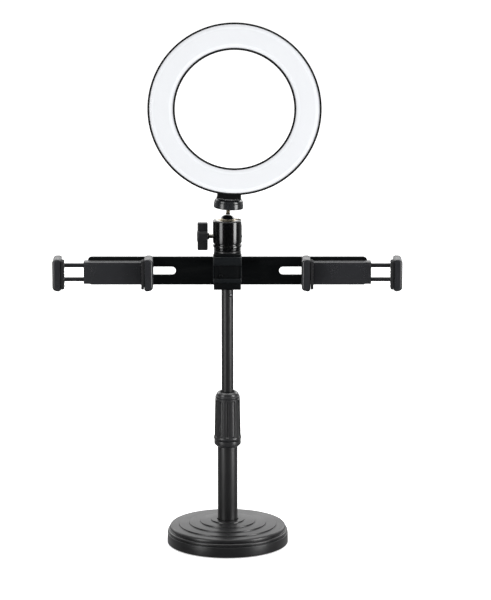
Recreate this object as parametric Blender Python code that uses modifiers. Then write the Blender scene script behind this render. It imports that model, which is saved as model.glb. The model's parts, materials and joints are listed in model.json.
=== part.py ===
"""Desk ring light: a ring lamp on a mini ball head, over a crossbar with two sprung phone clamps,
on a two-section pole with a twist lock and a round weighted base.

Metres, +Z up, the lamp faces -Y, +X is to the viewer's right. The origin is the centre of the
base's underside. Each object is one real piece.
"""

import math

import bmesh
import bpy
from mathutils import Matrix, Vector

# Clearance kept between pieces that touch.
GAP = 0.0003

# Base
BASE_RADIUS = 0.0569
BASE_WALL_TOP = 0.0106
BASE_TIER_TOP = 0.0175
BASE_RINGS = (0.0459, 0.0362, 0.0260, 0.0158)
BASE_RING_STEP = 0.0010
BASE_RING_SLOPE = 0.0004
TUBE_SEAT = 0.0166

# Pole
LOWER_TUBE_RADIUS = 0.00935
LOWER_TUBE_BORE = 0.00815
LOWER_TUBE_TOP = 0.1077
INNER_TUBE_RADIUS = 0.0056
INNER_TUBE_BORE = 0.0046
INNER_TUBE_FOOT = 0.0783
INNER_TUBE_TOP = 0.2620
GRIP_BOTTOM = 0.1007
GRIP_TOP = 0.1465
GRIP_FLUTES = 12

# Bracket and crossbar
BLOCK_BOTTOM = 0.2453
BLOCK_TOP = 0.2790
BLOCK_FRONT = -0.0110
BLOCK_BACK = 0.0060
BAR_HALF_LENGTH = 0.1300
BAR_FRONT = BLOCK_BACK + GAP
BAR_THICKNESS = 0.0030
BAR_HEIGHT = 0.0264
BAR_CENTRE_Z = 0.2600
SLOT_INNER_END = 0.0480
SLOT_OUTER_END = 0.1240
SLOT_HEIGHT = 0.0076
BAR_SCREW_X = 0.0070
BAR_SCREW_Z = 0.2680

# Ball head
HOUSING_RADIUS = 0.0135
HOUSING_BOTTOM = 0.2816
HOUSING_TOP = 0.3097
BALL_RADIUS = 0.0087
BALL_Z = 0.3057
LOCK_SCREW_Z = 0.2940
HEAD_ROLL = math.radians(3.55)

# Ring lamp, in the head's frame: heights are above the ball's centre
PLATFORM_RADIUS = 0.0138
PLATFORM_BOTTOM = 0.0150
PLATFORM_TOP = 0.0236
RING_RADIUS = 0.0798
RING_HOLE = 0.0543
RING_DEPTH = 0.0130
RING_FRONT = -0.0150
RING_CENTRE = 0.1093
RIM_WIDTH = 0.0016
FOOT_BOTTOM = 0.0254

# Phone clamps: u runs outwards from the clamp's centre
CLAMP_X = 0.11525
CLAMP_REACH = 0.0466
JAW_SHELL = 0.0081
JAW_HEIGHT = 0.0298
JAW_FRONT = -0.0170
JAW_BACK = 0.0056
PAD_HEIGHT = 0.0267
PAD_TIP = 0.03555
PAD_TEETH = 8
REST_INNER = 0.0350
REST_OUTER = 0.0175
REST_HALF_HEIGHT = 0.0090
BODY_FRONT = -0.0050
BODY_END = 0.0180
BODY_HALF_HEIGHT = 0.0103

PARTS = "ring_light"
CUTTERS = "cutters"


# ---------------------------------------------------------------- scene and helpers


def empty_scene():
    for item in list(bpy.data.objects):
        bpy.data.objects.remove(item, do_unlink=True)
    for title in (PARTS, CUTTERS):
        group = bpy.data.collections.new(title)
        bpy.context.scene.collection.children.link(group)


def finish(title, colour, roughness, metallic=0.0):
    """A Principled material of one colour."""
    material = bpy.data.materials.get(title) or bpy.data.materials.new(title)
    material.use_nodes = True
    shader = material.node_tree.nodes["Principled BSDF"]
    shader.inputs["Base Color"].default_value = (*colour, 1.0)
    shader.inputs["Roughness"].default_value = roughness
    shader.inputs["Metallic"].default_value = metallic
    return material


def black_paint():
    return finish("black_paint", (0.020, 0.020, 0.022), 0.42)


def black_plastic():
    return finish("black_plastic", (0.030, 0.030, 0.032), 0.50)


def gloss_black():
    return finish("gloss_black", (0.010, 0.010, 0.011), 0.18, 0.6)


def rubber():
    return finish("rubber", (0.015, 0.015, 0.015), 0.85)


def steel():
    return finish("steel", (0.62, 0.60, 0.56), 0.22, 1.0)


def brass():
    return finish("brass", (0.72, 0.55, 0.30), 0.30, 1.0)


def cast_iron():
    return finish("cast_iron", (0.12, 0.12, 0.12), 0.70, 0.8)


def white_plastic():
    return finish("white_plastic", (0.90, 0.91, 0.93), 0.45)


def board_white():
    return finish("board", (0.80, 0.82, 0.80), 0.50)


def place(name, mesh, material=None, parent=None, at=(0, 0, 0), turn=(0, 0, 0), group=PARTS):
    """An object holding the mesh, set by its location, rotation and parent."""
    made = bpy.data.objects.new(name, mesh)
    if material:
        mesh.materials.append(material)
    made.parent = parent
    made.location = at
    made.rotation_euler = turn
    bpy.data.collections[group].objects.link(made)
    return made


def pivot(name, at, turn=(0, 0, 0), parent=None):
    """An empty on a joint's axis, which carries the pieces that move about it."""
    made = place(name, None, parent=parent, at=at, turn=turn)
    made.empty_display_size = 0.01
    return made


def smooth(mesh, angle=40.0):
    mesh.shade_smooth()
    mesh.set_sharp_from_angle(angle=math.radians(angle))


def turned(name, outline, steps, material=None, closed=True, **where):
    """A profile of (radius, height) points, outer side from top to bottom, turned about local Z."""
    mesh = bpy.data.meshes.new(name)
    points = [(radius, 0.0, height) for radius, height in outline]
    edges = [(i, i + 1) for i in range(len(points) - 1)]
    if closed:
        edges.append((len(points) - 1, 0))
    mesh.from_pydata(points, edges, [])
    made = place(name, mesh, material, **where)
    screw = made.modifiers.new("turn", "SCREW")
    screw.steps = screw.render_steps = steps
    screw.use_merge_vertices = True
    screw.merge_threshold = 0.00001
    screw.use_smooth_shade = True
    return made


def tube(name, outer, inner, bottom, top, steps, material=None, **where):
    outline = [(inner, top), (outer, top), (outer, bottom), (inner, bottom)]
    return turned(name, outline, steps, material, **where)


def rod(name, radius, bottom, top, steps, material=None, **where):
    outline = [(0, top), (radius, top), (radius, bottom), (0, bottom)]
    return turned(name, outline, steps, material, closed=False, **where)


def block(name, low, high, material=None, rounded=(), **where):
    """A box between two corners. rounded holds (radius, segments, test) for edges to round."""
    low, high = Vector(low), Vector(high)
    corner = Vector(min(a, b) for a, b in zip(low, high))
    size = Vector(abs(a - b) for a, b in zip(low, high))
    mesh = bpy.data.meshes.new(name)
    shape = bmesh.new()
    bmesh.ops.create_cube(shape, size=1.0)
    matrix = Matrix.Translation(corner + size / 2) @ Matrix.Diagonal((*size, 1.0))
    bmesh.ops.transform(shape, matrix=matrix, verts=shape.verts)
    for radius, segments, chosen in rounded:
        edges = [edge for edge in shape.edges if chosen(edge)]
        bmesh.ops.bevel(
            shape, geom=edges, offset=radius, segments=segments, profile=0.5, affect="EDGES"
        )
    shape.to_mesh(mesh)
    shape.free()
    if rounded:
        smooth(mesh)
    return place(name, mesh, material, **where)


def runs_along(edge, axis):
    along = (edge.verts[0].co - edge.verts[1].co).normalized()
    return abs(along[axis]) > 0.99


def every_edge(_edge):
    return True


def along_x(edge):
    return runs_along(edge, 0)


def along_y(edge):
    return runs_along(edge, 1)


def along_z(edge):
    return runs_along(edge, 2)


def flat_plate(name, outlines, thickness, material=None, **where):
    """Flat outlines of (x, y) points, filled and given a thickness along local Z, as a mesh."""
    curve = bpy.data.curves.new(name, "CURVE")
    curve.dimensions = "2D"
    curve.fill_mode = "BOTH"
    curve.extrude = thickness / 2
    for outline in outlines:
        spline = curve.splines.new("POLY")
        spline.points.add(len(outline) - 1)
        for point, (x, y) in zip(spline.points, outline):
            point.co = (x, y, 0.0, 1.0)
        spline.use_cyclic_u = True
    return curve_as_mesh(name, curve, material, **where)


def curve_as_mesh(name, curve, material, **where):
    drawn = place("curve_of_" + name, curve, group=CUTTERS)
    graph = bpy.context.evaluated_depsgraph_get()
    mesh = bpy.data.meshes.new_from_object(drawn.evaluated_get(graph))
    bpy.data.objects.remove(drawn, do_unlink=True)
    shape = bmesh.new()
    shape.from_mesh(mesh)
    bmesh.ops.remove_doubles(shape, verts=shape.verts, dist=0.000001)
    bmesh.ops.recalc_face_normals(shape, faces=shape.faces)
    shape.to_mesh(mesh)
    shape.free()
    return place(name, mesh, material, **where)


def circle(radius, count, backwards=False):
    sign = -1 if backwards else 1
    angles = [sign * 2 * math.pi * i / count for i in range(count)]
    return [(radius * math.cos(a), radius * math.sin(a)) for a in angles]


def lobed(radius, depth, lobes, per_lobe):
    """A closed outline whose radius waves between radius - depth and radius."""
    count = lobes * per_lobe
    outline = []
    for i in range(count):
        angle = 2 * math.pi * i / count
        reach = radius - depth * (1 - math.cos(lobes * angle)) / 2
        outline.append((reach * math.cos(angle), reach * math.sin(angle)))
    return outline


def hide(cutter):
    cutter.hide_render = True
    cutter.display_type = "WIRE"
    return cutter


def combine(piece, other, operation="DIFFERENCE"):
    step = piece.modifiers.new(other.name, "BOOLEAN")
    step.operation = operation
    step.object = hide(other)
    return piece


def cut(piece, *cutters):
    for cutter in cutters:
        combine(piece, cutter)
    return piece


def join(piece, *others):
    for other in others:
        combine(piece, other, "UNION")
    return piece


def aimed(direction):
    """The rotation that turns local +Z to a direction."""
    return Vector((0, 0, 1)).rotation_difference(Vector(direction)).to_euler()


def bore(name, radius, start, end, steps=16, parent=None):
    """A round cutter between two points."""
    start, end = Vector(start), Vector(end)
    length = (end - start).length
    turn = aimed(end - start)
    return rod(name, radius, 0.0, length, steps, parent=parent, at=start, turn=turn, group=CUTTERS)


def bolt(name, seat, direction, head, shank, material, parent=None):
    """A round-headed bolt with a hexagon socket. seat is under the head, which faces direction."""
    head_radius, head_height = head
    shank_radius, length = shank
    edge = head_height * 0.3
    outline = [
        (0, head_height),
        (head_radius - edge, head_height),
        (head_radius, head_height - edge),
        (head_radius, 0),
        (shank_radius, 0),
        (shank_radius, -length),
        (0, -length),
    ]
    turn = aimed(direction)
    made = turned(
        name, outline, 12, material, closed=False, parent=parent, at=seat, turn=turn
    )
    socket = rod(
        name + "_socket",
        head_radius * 0.45,
        head_height * 0.45,
        head_height * 1.5,
        6,
        parent=parent,
        at=seat,
        turn=turn,
        group=CUTTERS,
    )
    return cut(made, socket)


# ---------------------------------------------------------------- base


def base_top():
    """The shell's outside from the boss down to the wall's foot, with a step at each ring."""
    height = BASE_TIER_TOP + len(BASE_RINGS) * (BASE_RING_STEP + BASE_RING_SLOPE)
    outline = [(LOWER_TUBE_RADIUS + GAP, height)]
    for radius in reversed(BASE_RINGS):
        outline.append((radius - 0.0002, height))
        height -= BASE_RING_STEP
        outline.append((radius + 0.0003, height))
        height -= BASE_RING_SLOPE
    outline += [
        (0.0528, BASE_TIER_TOP),
        (0.0540, BASE_TIER_TOP - 0.0010),
        (0.0544, BASE_TIER_TOP - 0.0030),
        (0.0543, BASE_TIER_TOP - 0.0037),
        (0.0552, BASE_WALL_TOP + 0.0025),
        (0.0560, BASE_WALL_TOP + 0.0012),
        (BASE_RADIUS - 0.0006, BASE_WALL_TOP),
        (BASE_RADIUS, 0.0012),
        (BASE_RADIUS - 0.0004, 0.0008),
    ]
    return outline


def make_base():
    inside = [
        (0.0549, 0.0008),
        (0.0549, 0.0095),
        (0.0527, 0.0125),
        (0.0518, 0.0155),
        (0.0140, 0.0198),
        (LOWER_TUBE_RADIUS + GAP, 0.0198),
    ]
    turned("base_shell", base_top() + inside, 40, black_paint())
    weight = [
        (0.0044, TUBE_SEAT),
        (0.0105, TUBE_SEAT),
        (0.0120, 0.0190),
        (0.0140, 0.0190),
        (0.0510, 0.0148),
        (0.0520, 0.0118),
        (0.0542, 0.0090),
        (0.0542, 0.0024),
        (0.0085, 0.0024),
        (0.0085, 0.0080),
        (0.0044, 0.0080),
    ]
    turned("base_weight", weight, 24, cast_iron())
    tube("base_pad", 0.0540, 0.0095, 0.0, 0.0021, 28, rubber())
    bolt("base_bolt", (0, 0, 0.0077), (0, 0, -1), (0.0070, 0.0045), (0.0040, 0.0163), steel())
    tube("tube_plug", 0.00785, 0.0043, TUBE_SEAT + GAP, 0.0255, 16, brass())


# ---------------------------------------------------------------- pole


def make_pole():
    tube(
        "lower_tube",
        LOWER_TUBE_RADIUS,
        LOWER_TUBE_BORE,
        TUBE_SEAT + GAP,
        LOWER_TUBE_TOP,
        24,
        black_paint(),
    )
    collar = 0.01255
    bore_radius = LOWER_TUBE_RADIUS + GAP
    ferrule = [
        (bore_radius, 0.1070),
        (0.0106, 0.1070),
        (0.0106, 0.1004),
        (collar - 0.0002, 0.1001),
        (collar, 0.0998),
        (collar, 0.0964),
        (collar - 0.0004, 0.0958),
        (0.0101, 0.0939),
        (bore_radius, 0.0939),
    ]
    turned("ferrule", ferrule, 24, black_plastic())
    make_collet()
    make_grip()
    tube("guide_bush", 0.00785, INNER_TUBE_RADIUS + GAP, 0.0800, 0.0920, 20, white_plastic())
    make_inner_tube()


def make_collet():
    inner = INNER_TUBE_RADIUS + GAP
    outline = [
        (inner, 0.1300),
        (0.0073, 0.1300),
        (0.0086, 0.1120),
        (0.0086, 0.1100),
        (0.0103, 0.1100),
        (0.0103, LOWER_TUBE_TOP + GAP),
        (inner, LOWER_TUBE_TOP + GAP),
    ]
    collet = turned("collet", outline, 16, white_plastic())
    half_slit = 0.0006
    for number in range(2):
        turn = (0, 0, math.radians(45 + 90 * number))
        low, high = (-0.0120, -half_slit, 0.1140), (0.0120, half_slit, 0.1320)
        cut(collet, block(f"collet_slit_{number}", low, high, turn=turn, group=CUTTERS))


def make_grip():
    inside_bottom = 0.0109
    lip, skirt, shoulder, mouth = 0.0130, 0.01245, 0.0118, 0.0070
    outline = [
        (mouth + 0.0004, GRIP_TOP - 0.0004),
        (0.0088, GRIP_TOP),
        (0.0102, GRIP_TOP - 0.0013),
        (0.0111, GRIP_TOP - 0.0035),
        (0.0116, GRIP_TOP - 0.0065),
        (shoulder, GRIP_TOP - 0.0085),
        (skirt, 0.1045),
        (lip, 0.1038),
        (lip, 0.1012),
        (lip - 0.0003, GRIP_BOTTOM),
        (inside_bottom, GRIP_BOTTOM),
        (inside_bottom, 0.1115),
        (0.0092, 0.1150),
        (0.0080, 0.1320),
        (mouth, 0.1370),
        (mouth, GRIP_TOP - 0.0010),
    ]
    grip = turned("twist_grip", outline, 36, black_plastic())
    flute_low, flute_high = 0.1045, 0.1370
    lean = math.atan2(skirt - shoulder, GRIP_TOP - 0.0085 - flute_low)
    shape = bmesh.new()
    for number in range(GRIP_FLUTES):
        angle = 2 * math.pi * number / GRIP_FLUTES
        reach = (skirt + shoulder) / 2 + 0.0014
        middle = Matrix.Translation((reach, 0, (flute_low + flute_high) / 2))
        matrix = Matrix.Rotation(angle, 4, "Z") @ middle @ Matrix.Rotation(-lean, 4, "Y")
        bmesh.ops.create_cone(
            shape,
            cap_ends=True,
            segments=8,
            radius1=0.0022,
            radius2=0.0022,
            depth=flute_high - flute_low,
            matrix=matrix,
        )
    mesh = bpy.data.meshes.new("grip_flutes")
    shape.to_mesh(mesh)
    shape.free()
    cut(grip, place("grip_flutes", mesh, group=CUTTERS))


def make_inner_tube():
    inner = tube(
        "inner_tube",
        INNER_TUBE_RADIUS,
        INNER_TUBE_BORE,
        INNER_TUBE_FOOT,
        INNER_TUBE_TOP,
        20,
        black_paint(),
    )
    rivet_height, rivet_angle = 0.2390, math.radians(31)
    outwards = Vector((math.sin(rivet_angle), -math.cos(rivet_angle), 0))
    centre = Vector((0, 0, rivet_height))
    cut(inner, bore("rivet_hole", 0.0016, centre, centre + outwards * 0.0080))
    rivet = [
        (0, 0.0060),
        (0.0009, 0.0060),
        (0.0013, 0.0057),
        (0.0013, 0.0036),
        (0, 0.0036),
    ]
    turned(
        "tube_rivet", rivet, 12, steel(), closed=False, at=centre, turn=aimed(outwards)
    )
    foot = INNER_TUBE_FOOT - GAP
    plug = [
        (0, foot + 0.0060),
        (INNER_TUBE_BORE - GAP, foot + 0.0060),
        (INNER_TUBE_BORE - GAP, foot),
        (0.0074, foot),
        (0.0074, foot - 0.0015),
        (0, foot - 0.0015),
    ]
    turned("tube_end_plug", plug, 16, black_plastic(), closed=False)


# ---------------------------------------------------------------- bracket and crossbar


def make_bracket():
    waist = 0.0112
    clip_bottom, clip_top = 0.2520, 0.2766
    body = block(
        "bracket_block",
        (-0.01265, BLOCK_FRONT, BLOCK_BOTTOM),
        (0.01265, BLOCK_BACK, BLOCK_TOP),
        black_plastic(),
        rounded=[(0.0008, 1, every_edge)],
    )
    for side, name in ((-1, "left"), (1, "right")):
        low = (side * waist, -0.02, clip_bottom - GAP)
        high = (side * 0.02, 0.02, clip_top + GAP)
        cut(body, block("waist_" + name, low, high, group=CUTTERS))
        seat = (side * BAR_SCREW_X, 0.01, BAR_SCREW_Z)
        tip = (side * BAR_SCREW_X, -0.0024, BAR_SCREW_Z)
        cut(body, bore("block_hole_" + name, 0.0023, seat, tip))
    cut(
        body,
        bore("pole_socket", INNER_TUBE_RADIUS + GAP, (0, 0, 0.24), (0, 0, 0.2623), 24),
        bore("stud_socket", 0.0034, (0, 0, 0.2665), (0, 0, 0.30)),
        bore("clip_screw_hole", 0.0015, (-0.006, -0.02, 0.2585), (-0.006, -0.0066, 0.2585)),
    )
    make_clip(waist, clip_bottom, clip_top)
    bolt(
        "clip_screw",
        (-0.006, BLOCK_FRONT - GAP, 0.2585),
        (0, -1, 0),
        (0.0019, 0.0010),
        (0.0012, 0.0043),
        steel(),
    )
    make_crossbar()


def make_clip(waist, bottom, top):
    """The cover round the block's front and sides, with a window across its front."""
    clip = block(
        "bracket_clip",
        (-0.0133, -0.0128, bottom),
        (0.0133, 0.0057, top),
        black_plastic(),
        rounded=[(0.0007, 1, every_edge)],
    )
    cut(
        clip,
        block(
            "clip_inside",
            (-waist - GAP, BLOCK_FRONT - GAP, bottom - 0.01),
            (waist + GAP, 0.02, top + 0.01),
            group=CUTTERS,
        ),
        block("clip_window", (-0.02, -0.02, 0.2560), (0.02, -0.0096, 0.2688), group=CUTTERS),
    )


def make_crossbar():
    back = BAR_FRONT + BAR_THICKNESS
    bar = block(
        "crossbar",
        (-BAR_HALF_LENGTH, BAR_FRONT, BAR_CENTRE_Z - BAR_HEIGHT / 2),
        (BAR_HALF_LENGTH, back, BAR_CENTRE_Z + BAR_HEIGHT / 2),
        black_paint(),
        rounded=[(0.0040, 4, along_y)],
    )
    half = SLOT_HEIGHT / 2
    for side, name in ((-1, "left"), (1, "right")):
        low = (side * SLOT_INNER_END, BAR_FRONT - 0.01, BAR_CENTRE_Z - half)
        high = (side * SLOT_OUTER_END, back + 0.01, BAR_CENTRE_Z + half)
        rounded = [(half - 0.00001, 6, along_y)]
        slot = block("slot_" + name, low, high, rounded=rounded, group=CUTTERS)
        x = side * BAR_SCREW_X
        start, end = (x, BAR_FRONT - 0.01, BAR_SCREW_Z), (x, back + 0.01, BAR_SCREW_Z)
        cut(bar, slot, bore("bar_hole_" + name, 0.0023, start, end))
        bolt(
            "bar_screw_" + name,
            (x, back + GAP, BAR_SCREW_Z),
            (0, 1, 0),
            (0.0036, 0.0024),
            (0.0020, 0.0115),
            steel(),
        )


# ---------------------------------------------------------------- ball head


def make_ball_head():
    tube("head_flange", 0.01255, 0.0034, BLOCK_TOP + GAP, HOUSING_BOTTOM - GAP, 24, gloss_black())
    rod("head_stud", 0.0031, 0.2669, 0.2885, 16, steel())
    cavity = 0.0093
    mouth = 0.0083
    groove = HOUSING_RADIUS - 0.0004
    outline = [
        (mouth, HOUSING_TOP),
        (0.0108, HOUSING_TOP),
        (0.0128, HOUSING_TOP - 0.0007),
        (HOUSING_RADIUS, HOUSING_TOP - 0.0016),
        (HOUSING_RADIUS, 0.2876),
        (groove, 0.2873),
        (groove, 0.2867),
        (HOUSING_RADIUS, 0.2864),
        (HOUSING_RADIUS, 0.2832),
        (0.0128, HOUSING_BOTTOM),
        (0.0034, HOUSING_BOTTOM),
        (0.0034, 0.2905),
        (cavity, 0.2905),
        (cavity, HOUSING_TOP - 0.0028),
        (mouth, HOUSING_TOP - 0.0006),
    ]
    housing = turned("ball_housing", outline, 32, gloss_black())
    notch = block(
        "drop_notch",
        (0.0070, -0.0034, 0.3035),
        (0.0180, 0.0034, 0.3200),
        rounded=[(0.0030, 4, lambda edge: along_x(edge) and edge.verts[0].co.z < 0.31)],
        group=CUTTERS,
    )
    outside, inside = 0.0200, 0.0082
    screw_hole = bore(
        "lock_screw_hole", 0.0025, (-outside, 0, LOCK_SCREW_Z), (-inside, 0, LOCK_SCREW_Z)
    )
    pin_hole = bore("pin_hole", 0.0016, (inside, 0, LOCK_SCREW_Z), (outside, 0, LOCK_SCREW_Z))
    cut(housing, notch, screw_hole, pin_hole)
    pin_start = (0.0097, 0, LOCK_SCREW_Z)
    rod("side_pin", 0.0013, 0, 0.0042, 12, steel(), at=pin_start, turn=aimed((1, 0, 0)))
    make_ball_seat()
    make_lock_knob()


def make_ball_seat():
    outline = [
        (0.0071, 0.3002),
        (0.0090, 0.3002),
        (0.0090, 0.2909),
        (0.0039, 0.2909),
        (0.0039, 0.2968),
        (0.0055, 0.2983),
    ]
    seat = turned("ball_seat", outline, 24, white_plastic())
    start, end = (-0.012, 0, LOCK_SCREW_Z), (-0.003, 0, LOCK_SCREW_Z)
    cut(seat, bore("pressure_pad_hole", 0.0026, start, end))
    rod(
        "pressure_pad",
        0.0022,
        0.0,
        0.0036,
        16,
        brass(),
        at=(-0.0087, 0, LOCK_SCREW_Z),
        turn=aimed((1, 0, 0)),
    )


def make_lock_knob():
    """A winged knob and its screw. The knob's local +Z points away from the housing."""
    axis = pivot("lock_knob_axis", (-0.0169, 0, LOCK_SCREW_Z), aimed((-1, 0, 0)))
    hub = [(0, 0.0112), (0.0052, 0.0112), (0.0063, 0.0100), (0.0063, 0.0022), (0.0038, 0.0016)]
    hub += [(0.0038, 0.0), (0.0024, 0.0), (0.0024, 0.0070), (0.0, 0.0070)]
    knob = turned("lock_knob", hub, 20, black_plastic(), closed=False, parent=axis)
    for side, name in ((-1, "low"), (1, "high")):
        wing = block(
            "wing_" + name,
            (side * 0.0030, -0.0034, 0.0022),
            (side * 0.01285, 0.0034, 0.0104),
            rounded=[(0.0010, 2, every_edge)],
            parent=axis,
            group=CUTTERS,
        )
        join(knob, wing)
    rod("lock_screw", 0.0021, -0.0079, 0.0066, 16, steel(), parent=axis)


def make_moving_head():
    """Everything above the ball, in a frame that rolls and tilts about the ball's centre."""
    mesh = bpy.data.meshes.new("ball")
    shape = bmesh.new()
    bmesh.ops.create_uvsphere(shape, u_segments=20, v_segments=12, radius=BALL_RADIUS)
    shape.to_mesh(mesh)
    shape.free()
    smooth(mesh, 80)
    head = pivot("head_axis", (0, 0, BALL_Z), (0, HEAD_ROLL, 0))
    place("ball", mesh, steel(), parent=head)
    stem_radius = 0.00175
    stem = [
        (0, 0.0200),
        (stem_radius, 0.0200),
        (stem_radius, 0.0100),
        (0.0024, 0.0091),
        (0, 0.0091),
    ]
    turned("ball_stem", stem, 16, steel(), closed=False, parent=head)
    platform = [
        (0.0034, PLATFORM_TOP),
        (0.0114, PLATFORM_TOP),
        (PLATFORM_RADIUS - 0.0005, PLATFORM_TOP - 0.0013),
        (PLATFORM_RADIUS, PLATFORM_BOTTOM + 0.0005),
        (PLATFORM_RADIUS - 0.0004, PLATFORM_BOTTOM),
        (stem_radius + GAP, PLATFORM_BOTTOM),
        (stem_radius + GAP, 0.0203),
        (0.0034, 0.0203),
    ]
    turned("platform", platform, 28, gloss_black(), parent=head)
    rod("mount_stud", 0.0031, 0.0206, 0.0315, 16, steel(), parent=head)
    teeth = lobed(0.01175, 0.0005, 38, 2)
    flat_plate(
        "lock_ring",
        [teeth, circle(0.0035, 12, backwards=True)],
        FOOT_BOTTOM - PLATFORM_TOP - 2 * GAP,
        black_plastic(),
        parent=head,
        at=(0, 0, (FOOT_BOTTOM + PLATFORM_TOP) / 2),
    )
    make_ring(head)


# ---------------------------------------------------------------- ring lamp


def half_ellipse(across, deep, count):
    """The back of the ring's section, from its outer edge round to its inner edge."""
    middle = (RING_RADIUS + RING_HOLE) / 2
    points = []
    for i in range(count):
        angle = math.pi * i / (count - 1)
        points.append((middle + across * math.cos(angle), -deep * math.sin(angle)))
    return points


def make_ring(head):
    """Turned about the ring's own axis: local +Z faces the front."""
    where = dict(parent=head, at=(0, RING_FRONT, RING_CENTRE), turn=aimed((0, -1, 0)))
    across = (RING_RADIUS - RING_HOLE) / 2
    outside = half_ellipse(across, RING_DEPTH, 9)
    inside = half_ellipse(across - RIM_WIDTH, RING_DEPTH - 0.0018, 7)
    shell = turned("back_shell", outside + inside[::-1], 56, black_plastic(), **where)
    outer = RING_RADIUS - RIM_WIDTH - GAP
    inner = RING_HOLE + RIM_WIDTH + GAP
    crown = 0.0016
    diffuser = [
        (inner, -0.0005),
        (inner + crown, -0.0001),
        (outer - crown, -0.0001),
        (outer, -0.0005),
        (outer - 0.0003, -0.0022),
        (inner + 0.0003, -0.0022),
    ]
    turned("diffuser", diffuser, 56, white_plastic(), **where)
    tube("led_board", 0.0735, 0.0607, -0.0072, -0.0060, 36, board_white(), **where)
    foot_screw_x, foot_screw_z = 0.0065, 0.0375
    make_foot(head, shell, where, across, foot_screw_x, foot_screw_z)
    make_gland(head, shell)


def make_foot(head, shell, where, across, screw_x, screw_z):
    back = 0.0090
    foot = block(
        "mount_foot",
        (-0.0111, -0.0117, FOOT_BOTTOM),
        (0.0111, back, 0.0420),
        black_plastic(),
        rounded=[(0.0012, 2, along_z)],
        parent=head,
    )
    room = half_ellipse(across + GAP, RING_DEPTH + GAP, 15)
    room = [(room[0][0], 0.02)] + room + [(room[-1][0], 0.02)]
    cut(
        foot,
        turned("ring_room", room, 48, group=CUTTERS, **where),
        bore("insert_socket", 0.0047, (0, 0, 0.02), (0, 0, 0.0324), 20, parent=head),
    )
    tube("thread_insert", 0.0044, 0.00345, FOOT_BOTTOM + GAP, 0.0320, 20, brass(), parent=head)
    for side, name in ((-1, "left"), (1, "right")):
        x = side * screw_x
        hole = bore(
            "foot_hole_" + name, 0.0015, (x, 0.02, screw_z), (x, -0.0068, screw_z), parent=head
        )
        cut(foot, hole)
        cut(shell, hole)
        bolt(
            "foot_screw_" + name,
            (x, back + GAP, screw_z),
            (0, 1, 0),
            (0.0026, 0.0016),
            (0.0012, 0.0150),
            steel(),
            parent=head,
        )


def make_gland(head, shell):
    """The cable's outlet, low on the back of the ring."""
    angle = math.radians(28)
    radius = (RING_RADIUS + RING_HOLE) / 2
    back = RING_FRONT + RING_DEPTH
    centre = Vector((radius * math.sin(angle), back, RING_CENTRE - radius * math.cos(angle)))
    outline = [
        (0.0015, 0.0075),
        (0.0025, 0.0075),
        (0.0034, 0.0020),
        (0.0042, 0.0012),
        (0.0042, 0.0003),
        (0.0023, 0.0003),
        (0.0023, -0.0030),
        (0.0015, -0.0030),
    ]
    turned("cable_gland", outline, 12, rubber(), parent=head, at=centre, turn=aimed((0, 1, 0)))
    depth = Vector((0, 0.0060, 0))
    cut(shell, bore("gland_hole", 0.0026, centre - depth, centre + depth, parent=head))


# ---------------------------------------------------------------- phone clamps


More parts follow.
